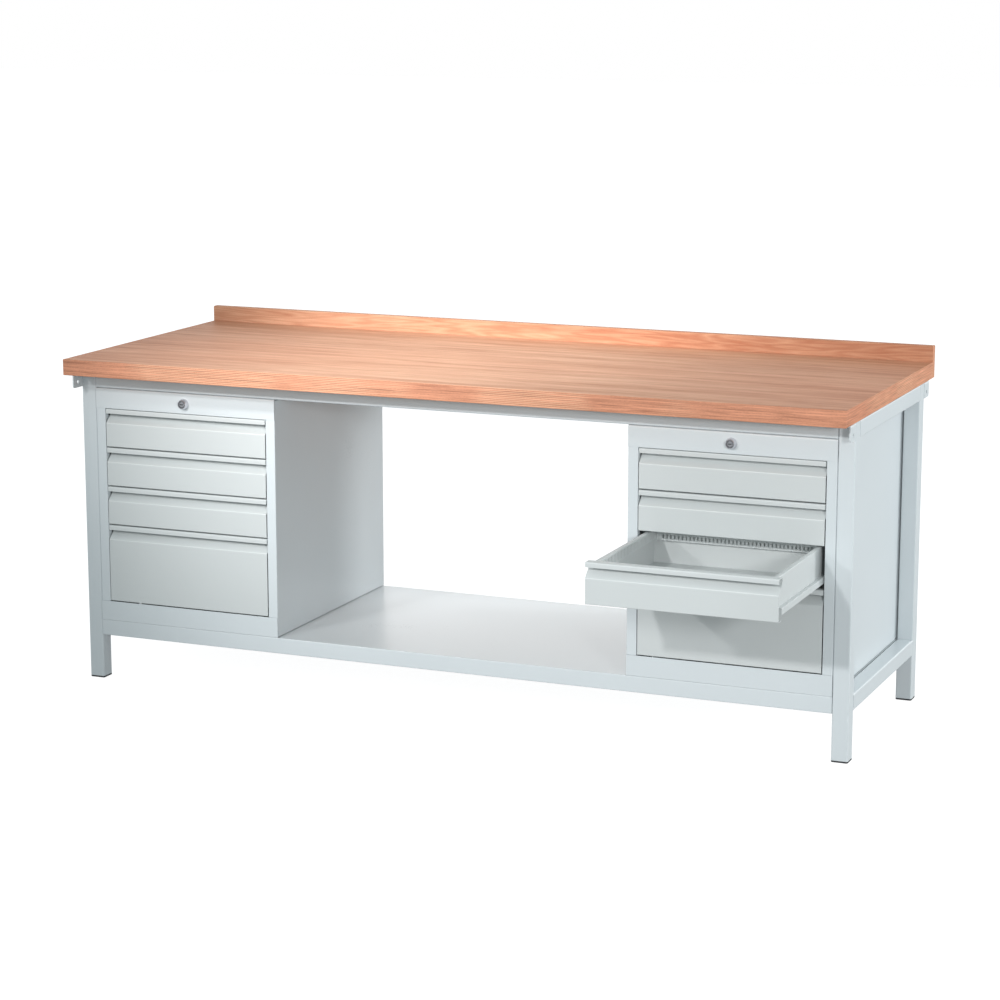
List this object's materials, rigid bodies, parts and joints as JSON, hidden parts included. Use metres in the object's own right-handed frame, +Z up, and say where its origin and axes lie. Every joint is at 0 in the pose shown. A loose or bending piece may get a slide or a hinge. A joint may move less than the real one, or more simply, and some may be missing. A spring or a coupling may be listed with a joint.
{
  "type": "workbench with drawers",
  "caption": "Wooden-topped steel workbench with a full-length shelf and two lockable drawer pedestals, one drawer standing open.",
  "frame": {"origin": "on the floor, at the bottom centre of the whole object's box, which includes the open drawer", "axes": "+X along the bench to the right as a person stands at its front, +Y towards its back, +Z up"},
  "size_m": [2, 1.059, 0.872],
  "materials": {
    "wood": "satin oiled beech, ply edges",
    "frame_coat": "light grey powder coat",
    "drawer_coat": "light grey powder coat",
    "galvanised": "galvanised sheet",
    "chrome": "polished",
    "foot_plastic": "moulded"
  },
  "bodies": {
    "bench": {"worktop": "wood", "backboard": "wood", "leg_front_left": "frame_coat", "foot_cap_front_left": "foot_plastic", "ear_front_left": "frame_coat", "leg_back_left": "frame_coat", "foot_cap_back_left": "foot_plastic", "ear_back_left": "frame_coat", "top_side_rail_left": "frame_coat", "lower_side_rail_left": "frame_coat", "leg_front_right": "frame_coat", "foot_cap_front_right": "foot_plastic", "ear_front_right": "frame_coat", "leg_back_right": "frame_coat", "foot_cap_back_right": "foot_plastic", "ear_back_right": "frame_coat", "top_side_rail_right": "frame_coat", "lower_side_rail_right": "frame_coat", "top_rail_front": "frame_coat", "top_rail_back": "frame_coat", "shelf": "frame_coat", "left_pedestal_base": "frame_coat", "left_pedestal_top": "frame_coat", "left_pedestal_side_left": "frame_coat", "left_pedestal_side_right": "frame_coat", "left_pedestal_back": "frame_coat", "left_runner_frame_left": "galvanised", "left_runner_frame_right": "galvanised", "left_lock_body": "chrome", "right_pedestal_base": "frame_coat", "right_pedestal_top": "frame_coat", "right_pedestal_side_left": "frame_coat", "right_pedestal_side_right": "frame_coat", "right_pedestal_back": "frame_coat", "right_runner_frame_left": "galvanised", "right_runner_frame_right": "galvanised", "right_lock_body": "chrome"},
    "left_lock_plug": {"left_lock_plug": "chrome"},
    "left_lock_bar": {"left_lock_bar": "galvanised"},
    "left_drawer_1": {"left_drawer_1_front": "drawer_coat", "left_drawer_1_tray": "drawer_coat"},
    "left_drawer_2": {"left_drawer_2_front": "drawer_coat", "left_drawer_2_tray": "drawer_coat"},
    "left_drawer_3": {"left_drawer_3_front": "drawer_coat", "left_drawer_3_tray": "drawer_coat"},
    "left_drawer_4": {"left_drawer_4_front": "drawer_coat", "left_drawer_4_tray": "drawer_coat"},
    "right_lock_plug": {"right_lock_plug": "chrome"},
    "right_lock_bar": {"right_lock_bar": "galvanised"},
    "right_drawer_1": {"right_drawer_1_front": "drawer_coat", "right_drawer_1_tray": "drawer_coat"},
    "right_drawer_2": {"right_drawer_2_front": "drawer_coat", "right_drawer_2_tray": "drawer_coat"},
    "right_drawer_3": {"right_drawer_3_front": "drawer_coat", "right_drawer_3_tray": "drawer_coat"},
    "right_drawer_4": {"right_drawer_4_front": "drawer_coat", "right_drawer_4_tray": "drawer_coat"}
  },
  "joints": [
    {"name": "left_drawer_1_slide", "type": "slide", "parent": "bench", "child": "left_drawer_1", "axis": [0, -1, 0], "range_m": [0, 0.36]},
    {"name": "left_drawer_2_slide", "type": "slide", "parent": "bench", "child": "left_drawer_2", "axis": [0, -1, 0], "range_m": [0, 0.36]},
    {"name": "left_drawer_3_slide", "type": "slide", "parent": "bench", "child": "left_drawer_3", "axis": [0, -1, 0], "range_m": [0, 0.36]},
    {"name": "left_drawer_4_slide", "type": "slide", "parent": "bench", "child": "left_drawer_4", "axis": [0, -1, 0], "range_m": [0, 0.36]},
    {"name": "left_lock_turn", "type": "hinge", "parent": "bench", "child": "left_lock_plug", "pos_m": [-0.7087, -0.1845, 0.7252], "axis": [0, -1, 0], "range_deg": [0, 90.1]},
    {"name": "left_lock_bar_lift", "type": "slide", "parent": "bench", "child": "left_lock_bar", "axis": [0, 0, 1], "range_m": [0, 0.01]},
    {"name": "right_drawer_1_slide", "type": "slide", "parent": "bench", "child": "right_drawer_1", "axis": [0, -1, 0], "range_m": [0, 0.36]},
    {"name": "right_drawer_2_slide", "type": "slide", "parent": "bench", "child": "right_drawer_2", "axis": [0, -1, 0], "range_m": [0, 0.36]},
    {"name": "right_drawer_3_slide", "type": "slide", "parent": "bench", "child": "right_drawer_3", "axis": [0, -1, 0], "range_m": [-0.345, 0.015]},
    {"name": "right_drawer_4_slide", "type": "slide", "parent": "bench", "child": "right_drawer_4", "axis": [0, -1, 0], "range_m": [0, 0.36]},
    {"name": "right_lock_turn", "type": "hinge", "parent": "bench", "child": "right_lock_plug", "pos_m": [0.7087, -0.1845, 0.7252], "axis": [0, -1, 0], "range_deg": [0, 90.1]},
    {"name": "right_lock_bar_lift", "type": "slide", "parent": "bench", "child": "right_lock_bar", "axis": [0, 0, 1], "range_m": [0, 0.01]}
  ],
  "couplings": [
    {"joint": "left_lock_turn", "follows": "left_lock_bar_lift", "rad_per_m": 157.08},
    {"joint": "right_lock_turn", "follows": "right_lock_bar_lift", "rad_per_m": 157.08}
  ]
}
